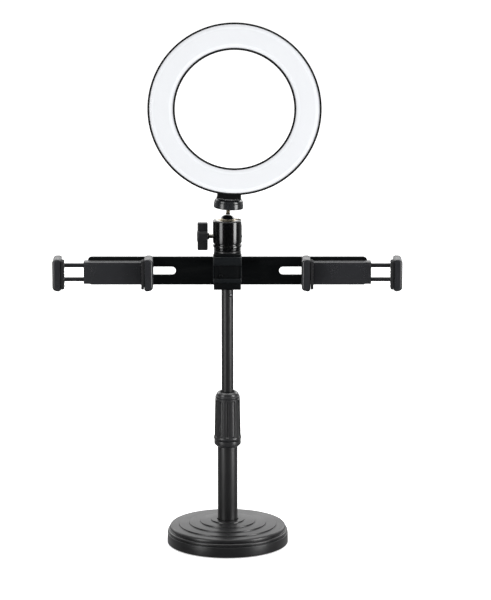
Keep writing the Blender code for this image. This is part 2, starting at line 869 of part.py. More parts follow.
def make_clamp(side, name):
    """A sprung phone clamp on the crossbar. side is -1 on the left and 1 on the right."""
    axis = pivot("clamp_axis_" + name, (side * CLAMP_X, 0, BAR_CENTRE_Z))

    def spot(u, y, z):
        return (side * u, y, z)

    def jaw_shell(title, reach, material, group=PARTS):
        """A jaw's outer shell, with its outer corners rounded more than its inner ones."""
        inner = reach - math.copysign(JAW_SHELL, reach)

        def outer_corner(edge):
            near = abs(edge.verts[0].co.x - side * reach) < 0.0001
            return along_y(edge) and near

        def inner_corner(edge):
            near = abs(edge.verts[0].co.x - side * inner) < 0.0001
            return along_y(edge) and near

        low, high = spot(inner, JAW_FRONT, -JAW_HEIGHT / 2), spot(reach, JAW_BACK, JAW_HEIGHT / 2)
        rounded = [(0.0048, 5, outer_corner), (0.0010, 2, inner_corner)]
        return block(title, low, high, material, rounded=rounded, parent=axis, group=group)

    def pad(title, direction):
        """A rubber pad with a toothed face towards the phone."""
        back = CLAMP_REACH - JAW_SHELL - GAP
        pitch = PAD_HEIGHT / PAD_TEETH
        outline = [(back, PAD_HEIGHT / 2), (back, -PAD_HEIGHT / 2)]
        for tooth in range(PAD_TEETH):
            low = -PAD_HEIGHT / 2 + tooth * pitch
            outline += [(PAD_TIP + 0.0006, low), (PAD_TIP, low + pitch * 0.3)]
            outline += [(PAD_TIP, low + pitch * 0.7), (PAD_TIP + 0.0006, low + pitch * 0.98)]
        outline = [(side * direction * u, z) for u, z in outline]
        front, rear = JAW_FRONT + 0.0006, BODY_FRONT - GAP
        flat_plate(
            title,
            [outline],
            rear - front,
            rubber(),
            parent=axis,
            at=(0, (front + rear) / 2, 0),
            turn=(math.pi / 2, 0, 0),
        )

    body = jaw_shell("clamp_body_" + name, -CLAMP_REACH, black_plastic())
    sleeve = block(
        "sleeve_" + name,
        spot(-0.0400, BODY_FRONT, -BODY_HALF_HEIGHT),
        spot(BODY_END, 0.0032, BODY_HALF_HEIGHT),
        rounded=[(0.0008, 2, lambda edge: along_x(edge) and edge.verts[0].co.y < 0)],
        parent=axis,
        group=CUTTERS,
    )
    rest = block(
        "phone_rest_" + name,
        spot(-REST_INNER, BODY_FRONT - GAP, -REST_HALF_HEIGHT),
        spot(REST_OUTER, BODY_FRONT + GAP, REST_HALF_HEIGHT),
        parent=axis,
        group=CUTTERS,
    )
    room = block(
        "frame_room_" + name,
        spot(-0.0384, -0.0023, -0.0088),
        spot(0.0300, 0.0100, 0.0088),
        parent=axis,
        group=CUTTERS,
    )
    island = block(
        "island_" + name,
        spot(-0.0045, -0.0100, -0.0045),
        spot(0.0400, 0.0200, 0.0045),
        parent=axis,
        group=CUTTERS,
    )
    cut(room, island)
    join(body, sleeve)
    join(body, rest)
    nut_hole = bore("nut_hole_" + name, 0.0037, (0, -0.0018, 0), (0, 0.02, 0), parent=axis)
    cut(body, room, nut_hole)
    cover = block(
        "clamp_cover_" + name,
        spot(-0.0382, 0.0035, -BODY_HALF_HEIGHT),
        spot(BODY_END, BLOCK_BACK, BODY_HALF_HEIGHT),
        black_plastic(),
        rounded=[(0.0005, 1, every_edge)],
        parent=axis,
    )
    cut(cover, bore("cover_hole_" + name, 0.0029, (0, -0.01, 0), (0, 0.02, 0), parent=axis))
    pad("fixed_pad_" + name, -1)
    nut = [(0.0027, 0.0030), (0.0034, 0.0030), (0.0034, -0.0014), (0.0027, -0.0014)]
    turned("clamp_nut_" + name, nut, 12, brass(), parent=axis, turn=aimed((0, 1, 0)))

    jaw = jaw_shell("moving_jaw_" + name, CLAMP_REACH, black_plastic())
    frame = block(
        "slide_frame_" + name,
        spot(-0.0220, -0.0019, -0.0084),
        spot(0.0410, 0.0019, 0.0084),
        parent=axis,
        group=CUTTERS,
    )
    frame_hole = block(
        "frame_hole_" + name,
        spot(-0.0190, -0.0100, -0.0049),
        spot(CLAMP_REACH - JAW_SHELL, 0.0100, 0.0049),
        parent=axis,
        group=CUTTERS,
    )
    cut(frame, frame_hole)
    join(jaw, frame)
    pad("moving_pad_" + name, 1)
    make_spring("clamp_spring_" + name, side, axis)
    make_clamp_knob(name, axis)


def make_spring(name, side, axis):
    """A coil between the fixed jaw and the slide frame's cross piece."""
    start, end = -0.0380, -0.0223
    coil_radius, wire_radius, turns, per_turn = 0.0017, 0.0003, 5, 8
    count = turns * per_turn + 1
    curve = bpy.data.curves.new(name, "CURVE")
    curve.dimensions = "3D"
    curve.bevel_depth = wire_radius
    curve.bevel_resolution = 1
    curve.use_fill_caps = True
    spline = curve.splines.new("POLY")
    spline.points.add(count - 1)
    for i, point in enumerate(spline.points):
        angle = 2 * math.pi * i / per_turn
        u = start + wire_radius + (end - start - 2 * wire_radius) * i / (count - 1)
        y, z = coil_radius * math.cos(angle), coil_radius * math.sin(angle)
        point.co = (side * u, y, z, 1.0)
    curve_as_mesh(name, curve, steel(), parent=axis)


def make_clamp_knob(name, axis):
    """The keyed washer, the knob behind the crossbar and the screw through the slot."""
    back = BAR_FRONT + BAR_THICKNESS + GAP
    washer_outline = [(0.0027, 0.0012), (0.0075, 0.0012), (0.0075, 0.0), (0.0027, 0.0)]
    washer = turned(
        "slot_washer_" + name,
        washer_outline,
        16,
        steel(),
        parent=axis,
        at=(0, back, 0),
        turn=aimed((0, 1, 0)),
    )
    half = SLOT_HEIGHT / 2 - GAP
    lug = block(
        "washer_lug_" + name,
        (-half, BAR_FRONT + GAP, -half),
        (half, back + 0.0006, half),
        parent=axis,
        group=CUTTERS,
    )
    join(washer, lug)
    cut(washer, bore("washer_hole_" + name, 0.0027, (0, 0, 0), (0, 0.02, 0), 12, parent=axis))
    knob_start = back + 0.0012 + GAP
    knob_depth = 0.0084
    flat_plate(
        "clamp_knob_" + name,
        [lobed(0.0090, 0.0012, 8, 4), circle(0.0028, 12, backwards=True)],
        knob_depth,
        black_plastic(),
        parent=axis,
        at=(0, knob_start + knob_depth / 2, 0),
        turn=(math.pi / 2, 0, 0),
    )
    seat = knob_start + knob_depth + GAP
    head, shank = (0.0040, 0.0020), (0.0024, seat + 0.0010)
    bolt("clamp_screw_" + name, (0, seat, 0), (0, 1, 0), head, shank, steel(), parent=axis)


def main():
    empty_scene()
    make_base()
    make_pole()
    make_bracket()
    make_ball_head()
    make_moving_head()
    make_clamp(-1, "left")
    make_clamp(1, "right")


main()
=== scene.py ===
"""The looks of the desk ring light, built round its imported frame.

Metres, +Z up, the lamp faces -Y. Places and sizes come from the frame's nodes and joints.
"""

import json
import math

import bmesh
import bpy
from mathutils import Matrix, Vector


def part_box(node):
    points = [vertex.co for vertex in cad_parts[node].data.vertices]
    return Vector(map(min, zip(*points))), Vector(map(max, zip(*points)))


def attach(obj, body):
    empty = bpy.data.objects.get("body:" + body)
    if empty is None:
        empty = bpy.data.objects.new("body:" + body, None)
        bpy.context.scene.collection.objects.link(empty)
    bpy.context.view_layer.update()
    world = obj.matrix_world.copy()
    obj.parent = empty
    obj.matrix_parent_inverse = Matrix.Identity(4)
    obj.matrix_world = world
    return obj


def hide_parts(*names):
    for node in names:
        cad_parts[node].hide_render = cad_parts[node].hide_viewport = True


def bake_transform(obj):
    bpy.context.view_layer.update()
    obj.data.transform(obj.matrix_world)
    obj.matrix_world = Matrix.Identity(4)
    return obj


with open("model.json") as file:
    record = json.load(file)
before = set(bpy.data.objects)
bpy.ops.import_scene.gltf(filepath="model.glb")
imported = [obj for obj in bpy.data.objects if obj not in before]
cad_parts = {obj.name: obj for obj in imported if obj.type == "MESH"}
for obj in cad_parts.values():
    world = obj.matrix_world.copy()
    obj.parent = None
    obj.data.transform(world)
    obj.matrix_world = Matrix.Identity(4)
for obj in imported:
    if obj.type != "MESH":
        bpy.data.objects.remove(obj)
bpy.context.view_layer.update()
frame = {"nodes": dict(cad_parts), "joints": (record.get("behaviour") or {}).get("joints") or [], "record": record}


# ------ the frame's places


def joint(name):
    """The frame's entry for a joint."""
    return next(entry for entry in frame["joints"] if entry["name"] == name)


def reach(node, matrix=Matrix()):
    """The lowest and highest corners of a CAD node, in the frame that the matrix gives."""
    inverse = matrix.inverted()
    points = [inverse @ vertex.co for vertex in frame["nodes"][node].data.vertices]
    low = Vector(min(point[i] for point in points) for i in range(3))
    high = Vector(max(point[i] for point in points) for i in range(3))
    return low, high


def aimed(direction):
    """The turn that brings +Z onto a direction."""
    return Vector((0, 0, 1)).rotation_difference(Vector(direction)).to_matrix().to_4x4()


def at(point, direction=(0, 0, 1)):
    """A frame with its origin at a point and its +Z along a direction."""
    return Matrix.Translation(Vector(point)) @ aimed(direction)


GAP = 0.0003  # the clearance that the frame's pieces keep
BOLT_HOLE = 0.0015  # the radius of the hole for a small screw
STUD_HOLE = 0.0034  # the radius of the hole for a quarter-inch stud
BALL = Vector(joint("head_tilt")["pos_m"])
STUD_AXIS = Vector(joint("lamp_turn")["axis"])
HEAD = Matrix.Translation(BALL) @ Matrix.Rotation(math.atan2(STUD_AXIS.x, STUD_AXIS.z), 4, "Y")
RING_NODE_LOW, RING_NODE_HIGH = reach("back_shell", HEAD)
RING_CENTRE = (RING_NODE_LOW.z + RING_NODE_HIGH.z) / 2
RING = HEAD @ at((0, RING_NODE_LOW.y, RING_CENTRE), (0, -1, 0))


# ------ camera, lights and floor


def add(name, data):
    """A new object in the scene."""
    thing = bpy.data.objects.new(name, data)
    bpy.context.scene.collection.objects.link(thing)
    return thing


def set_camera():
    """At head height and a little to the right, looking down 12 degrees."""
    camera = add("camera", bpy.data.cameras.new("camera"))
    camera.location = (0.0168, -2.925, 0.8553)
    camera.rotation_euler = (math.radians(78.0), 0, 0)
    camera.data.sensor_width = 36.0
    camera.data.lens = 192.96
    camera.data.clip_start = 0.05
    camera.data.clip_end = 60.0
    bpy.context.scene.camera = camera


def softbox(name, place, size, power):
    """A rectangular light that looks at the middle of the object."""
    lamp = bpy.data.lights.new(name, "AREA")
    lamp.shape = "RECTANGLE"
    lamp.size, lamp.size_y = size
    lamp.energy = power
    holder = add(name, lamp)
    holder.location = place
    look = Vector((0, 0, 0.25)) - Vector(place)
    holder.rotation_euler = look.to_track_quat("-Z", "Y").to_euler()


def set_lights():
    """A tall softbox on each side, two small ones behind, a wide one above and a soft sky."""
    softbox("softbox_left", (-1.36, -1.10, 0.50), (0.70, 1.56), 18.5)
    softbox("softbox_right", (1.56, -0.79, 0.48), (0.70, 1.46), 30.5)
    softbox("softbox_back_left", (-1.05, 1.55, 0.95), (0.60, 0.70), 5.0)
    softbox("softbox_back_right", (1.05, 1.55, 0.95), (0.60, 0.70), 5.0)
    softbox("softbox_top", (0, 0.2, 2.3), (2.2, 1.4), 40.0)
    sky = bpy.data.lights.new("sky", "SUN")
    sky.energy = 1.6
    sky.angle = math.radians(120)
    add("sky", sky).rotation_euler = (math.radians(-25), 0, 0)


def ramp(nodes, start, end, low, high):
    """A node that takes start..end to low..high."""
    node = nodes.new("ShaderNodeMapRange")
    for name, value in zip(("From Min", "From Max", "To Min", "To Max"), (start, end, low, high)):
        node.inputs[name].default_value = value
    return node


def set_world():
    """White to the eye; in reflections bright behind, dim in front and dimmer below."""
    world = bpy.data.worlds.new("studio")
    bpy.context.scene.world = world
    world.use_nodes = True
    nodes, links = world.node_tree.nodes, world.node_tree.links
    nodes.clear()
    place = nodes.new("ShaderNodeTexCoord")
    axes = nodes.new("ShaderNodeSeparateXYZ")
    fade = ramp(nodes, -0.20, 0.95, 0.03, 0.80)
    fade.interpolation_type = "SMOOTHSTEP"
    under = ramp(nodes, -0.18, -0.02, 0.60, 1.0)
    both = nodes.new("ShaderNodeMath")
    both.operation = "MULTIPLY"
    seen = nodes.new("ShaderNodeLightPath")
    choose = nodes.new("ShaderNodeMix")
    choose.inputs["B"].default_value = 1.1
    glow = nodes.new("ShaderNodeBackground")
    out = nodes.new("ShaderNodeOutputWorld")
    links.new(place.outputs["Generated"], axes.inputs[0])
    links.new(axes.outputs["Y"], fade.inputs["Value"])
    links.new(seen.outputs["Is Camera Ray"], choose.inputs["Factor"])
    links.new(axes.outputs["Z"], under.inputs["Value"])
    links.new(fade.outputs["Result"], both.inputs[0])
    links.new(under.outputs["Result"], both.inputs[1])
    links.new(both.outputs[0], choose.inputs["A"])
    links.new(choose.outputs["Result"], glow.inputs["Strength"])
    links.new(glow.outputs[0], out.inputs["Surface"])


def set_floor():
    """A pale, softly lit table, which stays out of the object's reflections."""
    mesh = bpy.data.meshes.new("floor")
    half = 14.0
    corners = [(-half, -half, 0), (half, -half, 0), (half, half, 0), (-half, half, 0)]
    mesh.from_pydata(corners, [], [(0, 1, 2, 3)])
    floor = add("floor", mesh)
    floor.visible_glossy = False
    floor.visible_shadow = False
    material = bpy.data.materials.new("pale_floor")
    material.use_nodes = True
    shader = material.node_tree.nodes["Principled BSDF"]
    shader.inputs["Base Color"].default_value = (0.88, 0.88, 0.88, 1)
    shader.inputs["Roughness"].default_value = 0.9
    shader.inputs["Specular IOR Level"].default_value = 0.0
    shader.inputs["Emission Color"].default_value = (1, 1, 1, 1)
    shader.inputs["Emission Strength"].default_value = 0.50
    mesh.materials.append(material)
    bpy.context.scene.view_settings.view_transform = "Standard"


# ------ materials


def surface(
    name,
    colour,
    roughness,
    metallic=0.0,
    specular=0.5,
    grain=900.0,
    depth=0.00003,
    spread=0.05,
    tint=0.12,
    stretch=(1, 1, 1),
    coat=0.0,
    glow=0.0,
):
    """A Principled finish whose colour, roughness and height vary with a fine noise."""
    material = bpy.data.materials.new(name)
    material.use_nodes = True
    nodes, links = material.node_tree.nodes, material.node_tree.links
    shader = nodes["Principled BSDF"]
    shader.inputs["Metallic"].default_value = metallic
    shader.inputs["Specular IOR Level"].default_value = specular
    shader.inputs["Coat Weight"].default_value = coat
    shader.inputs["Coat Roughness"].default_value = 0.08
    if glow:
        shader.inputs["Emission Color"].default_value = (*colour, 1)
        shader.inputs["Emission Strength"].default_value = glow

    place = nodes.new("ShaderNodeTexCoord")
    scale = nodes.new("ShaderNodeMapping")
    scale.inputs["Scale"].default_value = stretch
    links.new(place.outputs["Object"], scale.inputs["Vector"])

    fine = nodes.new("ShaderNodeTexNoise")
    fine.inputs["Scale"].default_value = grain
    fine.inputs["Detail"].default_value = 3.0
    broad = nodes.new("ShaderNodeTexNoise")
    broad.inputs["Scale"].default_value = 45.0
    broad.inputs["Detail"].default_value = 2.0
    links.new(scale.outputs["Vector"], fine.inputs["Vector"])
    links.new(place.outputs["Object"], broad.inputs["Vector"])

    shade = nodes.new("ShaderNodeMix")
    shade.data_type = "RGBA"
    shade.inputs["A"].default_value = (*[c * (1 - tint) for c in colour], 1)
    shade.inputs["B"].default_value = (*[min(1, c * (1 + tint)) for c in colour], 1)
    links.new(broad.outputs["Fac"], shade.inputs["Factor"])
    links.new(shade.outputs["Result"], shader.inputs["Base Color"])

    both = nodes.new("ShaderNodeMath")
    both.operation = "MULTIPLY"
    links.new(fine.outputs["Fac"], both.inputs[0])
    links.new(broad.outputs["Fac"], both.inputs[1])
    rough = ramp(nodes, 0.1, 0.45, max(0.02, roughness - spread), min(1.0, roughness + spread))
    links.new(both.outputs[0], rough.inputs["Value"])
    links.new(rough.outputs["Result"], shader.inputs["Roughness"])

    bump = nodes.new("ShaderNodeBump")
    bump.inputs["Strength"].default_value = 0.6
    bump.inputs["Distance"].default_value = depth
    links.new(fine.outputs["Fac"], bump.inputs["Height"])
    links.new(bump.outputs["Normal"], shader.inputs["Normal"])
    return material


# fine lines round an upright axis, and plated metal
TURNED = {"grain": 420, "depth": 0.000006, "spread": 0.04, "stretch": (0.15, 0.15, 14)}
PLATED = {"metallic": 1, "grain": 500, "depth": 0.000008}

POWDER = surface("powder_black", (0.0085, 0.0085, 0.0092), 0.33, grain=1400, depth=0.00003)
TUBE_BLACK = surface(
    "tube_black", (0.0080, 0.0080, 0.0086), 0.40, specular=0.58, grain=1600, depth=0.00002
)
GRIP_BLACK = surface("grip_black", (0.0140, 0.0140, 0.0150), 0.32, grain=1500, depth=0.00002)
BAR_BLACK = surface(
    "bar_black", (0.0011, 0.0017, 0.0022), 0.50, specular=0.16, grain=1700, depth=0.00002
)
BRACKET_BLACK = surface("bracket_black", (0.0034, 0.0048, 0.0060), 0.42, specular=0.30, grain=1500)
GLOSS_BLACK = surface("gloss_black", (0.0016, 0.0017, 0.0019), 0.19, coat=0.3, **TURNED)
PLATFORM_BLACK = surface(
    "platform_black", (0.011, 0.0118, 0.0135), 0.23, specular=0.6, **TURNED
)
JAW_BLACK = surface("jaw_black", (0.0155, 0.0160, 0.0180), 0.25, grain=1300, depth=0.00002)
SLEEVE_BLACK = surface("sleeve_black", (0.0080, 0.0082, 0.0095), 0.38, grain=1300)
RING_BLACK = surface(
    "ring_black", (0.0026, 0.0026, 0.0030), 0.42, specular=0.22, grain=1500, depth=0.00002
)
RUBBER = surface("rubber", (0.008, 0.008, 0.009), 0.72, specular=0.25, grain=1100, depth=0.00005)
NICKEL = surface("nickel", (0.50, 0.46, 0.38), 0.15, tint=0.05, **PLATED)
# Nickel darkened far below bare metal, for the stem: painted shade, standing in for the dark surroundings the stem
# reflects.
STEM_NICKEL_PAINTED_DARK = surface("stem_nickel_painted_dark", (0.095, 0.078, 0.054), 0.30, tint=0.08, **PLATED)
STUD_NICKEL = surface("stud_nickel", (0.36, 0.35, 0.32), 0.48, tint=0.06, **PLATED)
BALL_NICKEL = surface("ball_nickel", (0.46, 0.41, 0.32), 0.12, tint=0.06, **PLATED)
STEEL_DARK = surface(
    "steel_dark", (0.10, 0.10, 0.105), 0.34, metallic=1, grain=700, depth=0.00001, tint=0.08
)
# Light grey for the lock ring's tooth tips: a painted glint where the knurl catches the light.
KNURL_GLINT_PAINT = surface("knurl_glint_paint", (0.30, 0.30, 0.31), 0.50, grain=700, depth=0.00001, tint=0.06)
BARE_RIM = surface(
    "bare_rim", (0.82, 0.79, 0.72), 0.24, metallic=1, grain=700, depth=0.00001, tint=0.05
)
BRASS = surface("brass", (0.70, 0.52, 0.27), 0.26, metallic=1, grain=500, depth=0.00001, tint=0.06)
IRON = surface("cast_iron", (0.055, 0.053, 0.050), 0.72, metallic=0.7, grain=380, depth=0.0002)
NYLON = surface("nylon", (0.62, 0.62, 0.59), 0.50, grain=900, depth=0.00002, tint=0.03)
BOARD = surface("board", (0.74, 0.76, 0.74), 0.42, grain=600, depth=0.00001, tint=0.04)
PHOSPHOR = surface("phosphor", (0.86, 0.72, 0.30), 0.35, grain=1800, depth=0.00001, tint=0.06)
OPAL = {"grain": 1300, "depth": 0.000008, "spread": 0.04, "tint": 0.012}
DIFFUSER = surface("diffuser", (0.403, 0.410, 0.422), 0.15, glow=0.61, **OPAL)
# The diffuser's two rim bands glow brighter than its middle: a painted highlight for the bright arcs on its
# rounded shoulders.
DIFFUSER_EDGE_HIGHLIGHT = surface("diffuser_edge_highlight", (0.403, 0.410, 0.422), 0.15, glow=0.74, **OPAL)

SLOT_FINISH = {
    "black_paint": POWDER,
    "black_plastic": GRIP_BLACK,
    "gloss_black": GLOSS_BLACK,
    "steel": NICKEL,
    "brass": BRASS,
    "cast_iron": IRON,
    "rubber": RUBBER,
    "diffuser_white": DIFFUSER,
    "nylon_white": NYLON,
    "circuit_board": BOARD,
}
NODE_SLOT = {part["node"]: part["material_slot"] for part in frame["record"]["subparts"]}
NODE_BODY = {
    node: body for body, nodes in frame["record"]["behaviour"]["bodies"].items() for node in nodes
}


def carry(piece, finish, *nodes):
    """The piece stands for these CAD nodes: it takes the finish, rides on their body and hides them."""
    piece.data.materials.clear()
    piece.data.materials.append(finish)
    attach(piece, NODE_BODY[nodes[0]])
    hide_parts(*nodes)
    return piece


def paint(piece, finish, matrix, chosen):
    """A second finish on the faces whose distance and height in the matrix's frame are chosen."""
    piece.data.materials.append(finish)
    inverse = matrix.inverted()
    for face in piece.data.polygons:
        centre = inverse @ face.center
        if chosen(math.hypot(centre.x, centre.y), centre.z):
            face.material_index = 1


# ------ shapes


def show(name, mesh, angle=35.0):
    """A new object, smooth up to the angle and with sharp edges beyond it."""
    mesh.shade_smooth()
    mesh.set_sharp_from_angle(angle=math.radians(angle))
    return add(name, mesh)


def made_from(name, shape):
    """A new object from a bmesh, which is used up."""
    mesh = bpy.data.meshes.new(name)
    shape.to_mesh(mesh)
    shape.free()
    return show(name, mesh)


def rounded(corners, closed=True, segments=5):
    """An outline of (x, y, radius) corners, with an arc in place of each corner."""
    outline = []
    count = len(corners)
    for i, (x, y, radius) in enumerate(corners):
        here = Vector((x, y))
        if radius == 0 or (not closed and i in (0, count - 1)):
            outline.append((x, y))
            continue
        before = Vector(corners[i - 1][:2]) - here
        after = Vector(corners[(i + 1) % count][:2]) - here
        half = before.angle(after) / 2
        if half > math.radians(89):
            outline.append((x, y))
            continue
        run = min(radius / math.tan(half), before.length * 0.49, after.length * 0.49)
        start, end = here + before.normalized() * run, here + after.normalized() * run
        middle = (before.normalized() + after.normalized()).normalized()
        centre = here + middle * run / math.cos(half)
        first, last = start - centre, end - centre
        sweep = first.angle(last)
        for step in range(segments + 1):
            share = step / segments
            turn = first * math.sin((1 - share) * sweep) + last * math.sin(share * sweep)
            point = centre + turn / math.sin(sweep)
            outline.append((point.x, point.y))
    return outline


def lathe(name, outline, steps=96, matrix=Matrix(), closed=True, dent=None, angle=35.0):
    """Turns (radius, height) points, outer side downwards, about the matrix's Z axis.

    dent(angle, radius, height) gives how far a point is pushed in towards the axis.
    """
    rows = len(outline)
    points, faces = [], []
    for step in range(steps):
        turn = 2 * math.pi * step / steps
        for radius, height in outline:
            if dent:
                radius -= dent(turn, radius, height)
            point = Vector((radius * math.cos(turn), radius * math.sin(turn), height))
            points.append(matrix @ point)
    for step in range(steps):
        here, there = step * rows, (step + 1) % steps * rows
        for row in range(rows if closed else rows - 1):
            after = (row + 1) % rows
            faces.append((here + row, here + after, there + after, there + row))
    mesh = bpy.data.meshes.new(name)
    mesh.from_pydata(points, [], faces)
    shape = bmesh.new()
    shape.from_mesh(mesh)
    bmesh.ops.remove_doubles(shape, verts=shape.verts, dist=0.0000005)
    bmesh.ops.dissolve_degenerate(shape, edges=shape.edges, dist=0.0000005)
    shape.to_mesh(mesh)
    shape.free()
    return show(name, mesh, angle)


def rod(name, radius, low, high, edge=0.0003, steps=48, matrix=Matrix()):
    """A solid cylinder along Z with rounded ends."""
    corners = [(0, high, 0), (radius, high, edge), (radius, low, edge), (0, low, 0)]
    return lathe(name, rounded(corners, closed=False), steps, matrix, closed=False)


def box(name, low, high, radius=0.0006, segments=3, matrix=Matrix(), chosen=None):
    """A box with rounded edges: all of them, or those that chosen picks."""
    low, high = Vector(low), Vector(high)
    corner = Vector(min(a, b) for a, b in zip(low, high))
    size = Vector(abs(a - b) for a, b in zip(low, high))
    shape = bmesh.new()
    bmesh.ops.create_cube(shape, size=1.0)
    spot = Matrix.Translation(corner + size / 2) @ Matrix.Diagonal((*size, 1.0))
    bmesh.ops.transform(shape, matrix=spot, verts=shape.verts)
    if radius:
        edges = [edge for edge in shape.edges if chosen is None or chosen(edge)]
        bmesh.ops.bevel(
            shape, geom=edges, offset=radius, segments=segments, profile=0.5, affect="EDGES"
        )
    bmesh.ops.transform(shape, matrix=matrix, verts=shape.verts)
    return made_from(name, shape)


def plate(name, outline, low, high, matrix=Matrix()):
    """An outline of (x, z) points, given depth from low to high along Y."""
    shape = bmesh.new()
    corners = [shape.verts.new((x, low, z)) for x, z in outline]
    face = shape.faces.new(corners)
    pushed = bmesh.ops.extrude_face_region(shape, geom=[face])
    moved = [item for item in pushed["geom"] if isinstance(item, bmesh.types.BMVert)]
    bmesh.ops.translate(shape, verts=moved, vec=(0, high - low, 0))
    bmesh.ops.recalc_face_normals(shape, faces=shape.faces)
    bmesh.ops.transform(shape, matrix=matrix, verts=shape.verts)
    return made_from(name, shape)


def rectangle(low_x, low_z, high_x, high_z, radius, segments=8):
    """The outline of a rectangle with rounded corners."""
    corners = [(low_x, low_z), (high_x, low_z), (high_x, high_z), (low_x, high_z)]
    return rounded([(x, z, radius) for x, z in corners], segments=segments)


def settle(piece, angle=35.0):
    """The piece's modifiers made into its mesh."""
    graph = bpy.context.evaluated_depsgraph_get()
    mesh = bpy.data.meshes.new_from_object(piece.evaluated_get(graph))
    piece.modifiers.clear()
    piece.data = mesh
    mesh.shade_smooth()
    mesh.set_sharp_from_angle(angle=math.radians(angle))
    return piece


def carve(piece, *cutters, operation="DIFFERENCE"):
    """Takes the cutters out of the piece, and then out of the scene."""
    for cutter in cutters:
        step = piece.modifiers.new("carve", "BOOLEAN")
        step.operation = operation
        step.object = cutter
        step.solver = "EXACT"
    settle(piece)
    for cutter in cutters:
        bpy.data.objects.remove(cutter, do_unlink=True)
    return piece


def weld(piece, *others):
    """Joins the others to the piece."""
    return carve(piece, *others, operation="UNION")


def soften(piece, width, segments=3, angle=38.0):
    """Rounds every edge sharper than the angle."""
    step = piece.modifiers.new("soften", "BEVEL")
    step.width = width
    step.segments = segments
    step.limit_method = "ANGLE"
    step.angle_limit = math.radians(angle)
    step.use_clamp_overlap = True
    step.miter_outer = "MITER_ARC"
    return settle(piece)


def thread(radius, top, bottom, pitch=0.0009, depth=0.0003):
    """The outer side of a threaded rod, from its top down to its bottom."""
    turns = max(1, round((top - bottom) / pitch))
    outline = []
    for number in range(turns):
        height = top + (bottom - top) * number / turns
        outline += [(radius - depth, height), (radius, height - pitch / 2)]
    return outline + [(radius - depth, bottom)]


def bolt(name, node, direction, matrix=Matrix(), *, head_height):
    """A button-headed bolt over a CAD bolt, with a hexagon socket and a threaded shank."""
    spot = matrix @ at((0, 0, 0), direction)
    low, high = reach(node, spot)
    middle_x, middle_y = (low.x + high.x) / 2, (low.y + high.y) / 2
    spot = spot @ Matrix.Translation((middle_x, middle_y, 0))
    head = (high.x - low.x) / 2
    seat = high.z - head_height
    shank = head * 0.55
    corners = [
        (0, high.z, 0),
        (head * 0.72, high.z, head * 0.5),
        (head, seat + head_height * 0.45, head * 0.25),
        (head, seat, 0.0001),
        (shank, seat, 0),
    ]
    outline = rounded(corners, closed=False) + thread(shank, seat - 0.0002, low.z) + [(0, low.z)]
    made = lathe(name, outline, 48, spot, closed=False)
    across, above = head * 0.46, high.z + 0.001
    hexagon = [
        (0, above),
        (across, above),
        (across, high.z - head_height * 0.62),
        (0, high.z - head_height * 0.70),
    ]
    return carve(made, lathe(name + "_recess", hexagon, 6, spot, closed=False))


# ------ base


def make_base():
    """The stepped cover, its rubber pad and the bolt that holds them."""
    low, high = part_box("base_shell")
    radius, top = high.x, high.z
    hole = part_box("lower_tube")[1].x + GAP
    tier_top, wall_top = 0.0175, 0.0106
    step, slope = 0.0010, 0.0004
    ceiling = 0.0198
    corners = [(hole, top - 0.0012, 0), (hole + 0.0004, top, 0.0005)]
    height = top
    for ring in (0.0158, 0.0260, 0.0362, 0.0459):
        corners += [
            (ring - 0.0002, height, 0.0003),
            (ring + 0.0001, height - step - 0.0001, 0.0001),
            (ring + 0.0006, height - step, 0.0003),
        ]
        height -= step + slope
    corners += [
        (0.0534, tier_top, 0.0009),
        (0.0543, tier_top - 0.0011, 0.0009),
        (0.0545, wall_top + 0.0040, 0.0004),
        (0.0538, wall_top + 0.0035, 0.0002),
        (0.0542, wall_top + 0.0031, 0.0003),
        (0.0562, wall_top + 0.0029, 0.0016),
        (0.0563, wall_top + 0.0010, 0.0006),
        (0.0556, wall_top + 0.0007, 0.0002),
        (0.0556, wall_top + 0.0001, 0.0002),
        (0.0568, wall_top - 0.0002, 0.0003),
        (radius, low.z + 0.0004, 0.0006),
        (radius - 0.0004, low.z, 0.0003),
        (0.0549, low.z, 0.0002),
        (0.0549, 0.0095, 0.0010),
        (0.0527, 0.0125, 0.0010),
        (0.0518, 0.0155, 0.0010),
        (0.0140, ceiling, 0.0020),
        (hole, ceiling, 0),
    ]
    shell = lathe("base_cover", rounded(corners), 256, angle=50)
    carry(shell, POWDER, "base_shell")

    pad_low, pad_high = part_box("base_pad")
    edge, pad_hole = 0.0004, 0.0095
    pad = [
        (pad_hole, pad_high.z, edge),
        (pad_high.x, pad_high.z, edge),
        (pad_high.x, pad_low.z, 0.0007),
        (pad_high.x - 0.0040, pad_low.z, 0),
        (pad_high.x - 0.0042, pad_low.z + 0.0004, 0),
        (pad_high.x - 0.0052, pad_low.z + 0.0004, 0),
        (pad_high.x - 0.0054, pad_low.z, 0),
        (pad_hole, pad_low.z, edge),
    ]
    carry(lathe("rubber_pad", rounded(pad), 160), RUBBER, "base_pad")
    carry(bolt("centre_bolt", "base_bolt", (0, 0, -1), head_height=0.0045), NICKEL, "base_bolt")


# ------ pole


def sleeve_outline(node, wall, edge=0.0004):
    """A plain tube's section over a CAD tube."""
    low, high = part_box(node)
    outer = high.x
    corners = [
        (outer - wall, high.z, edge),
        (outer, high.z, edge),
        (outer, low.z, edge),
        (outer - wall, low.z, edge),
    ]
    return rounded(corners)


def make_pole():
    """The outer tube with the collar on it, the grip and the inner tube."""
    tube = lathe("outer_tube", sleeve_outline("lower_tube", 0.0012), 96)
    carry(tube, TUBE_BLACK, "lower_tube")
    low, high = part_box("ferrule")
    collar, bore = high.x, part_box("lower_tube")[1].x + GAP
    neck, neck_foot = 0.0106, 0.1004
    corners = [
        (bore, high.z, 0.0002),
        (neck, high.z, 0.0002),
        (neck, neck_foot, 0),
        (collar, 0.1001, 0.0005),
        (collar, 0.0962, 0.0009),
        (0.0101, low.z, 0.0003),
        (bore, low.z, 0),
    ]
    carry(lathe("collar", rounded(corners), 128), GRIP_BLACK, "ferrule")
    make_grip()
    make_upper_tube()


